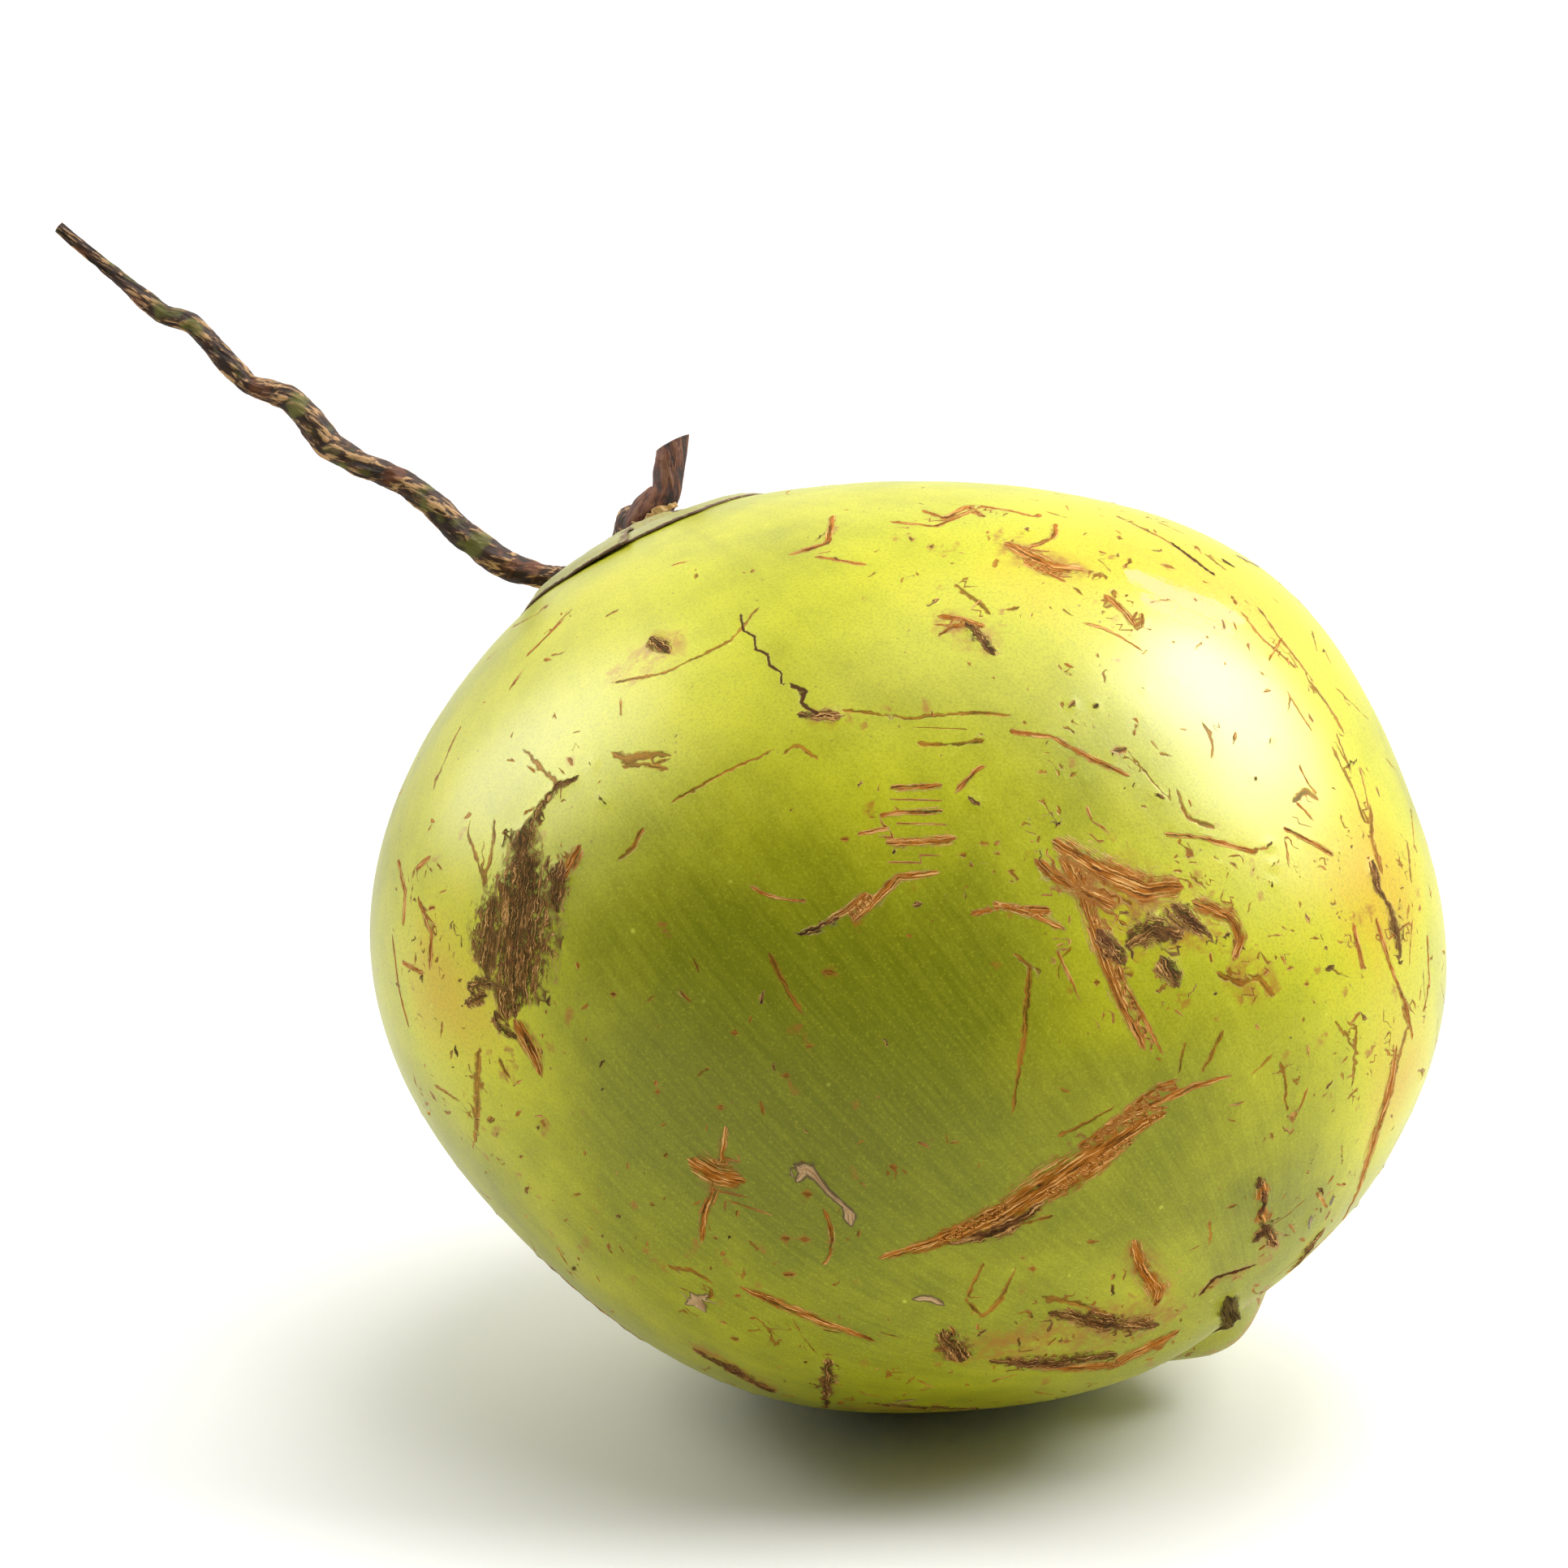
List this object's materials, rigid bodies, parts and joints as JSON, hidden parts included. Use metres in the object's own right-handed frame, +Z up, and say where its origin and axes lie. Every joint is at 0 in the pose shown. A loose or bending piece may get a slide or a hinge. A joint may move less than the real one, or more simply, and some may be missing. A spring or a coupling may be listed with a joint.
{
  "type": "green coconut",
  "caption": "Whole green coconut as picked, with ridged waxy husk, calyx scales and a dried zigzag stem, lying on a small flat spot.",
  "frame": {"origin": "centre of the flat spot that the husk rests on", "axes": "+Z up, +Y towards the back of the fruit as it is shown, +X to the right; the stem end is up to the left, the blossom end low on the right"},
  "size_m": [0.2625, 0.1814, 0.212],
  "materials": {
    "husk_skin": "satin waxy green fruit skin with brown corky scars",
    "petal_scale": "dull leathery olive green with a dried brown rim",
    "sepal_scale": "dull dried brown green",
    "dry_stem": "dry wrinkled dark brown bark",
    "dry_bract": "dry papery tan"
  },
  "bodies": {
    "root": {"husk": "husk_skin", "petal_scale_1": "petal_scale", "petal_scale_2": "petal_scale", "petal_scale_3": "petal_scale", "sepal_scale_1": "sepal_scale", "sepal_scale_2": "sepal_scale", "sepal_scale_3": "sepal_scale", "stem": "dry_stem", "torn_bract": "dry_bract"}
  },
  "joints": []
}
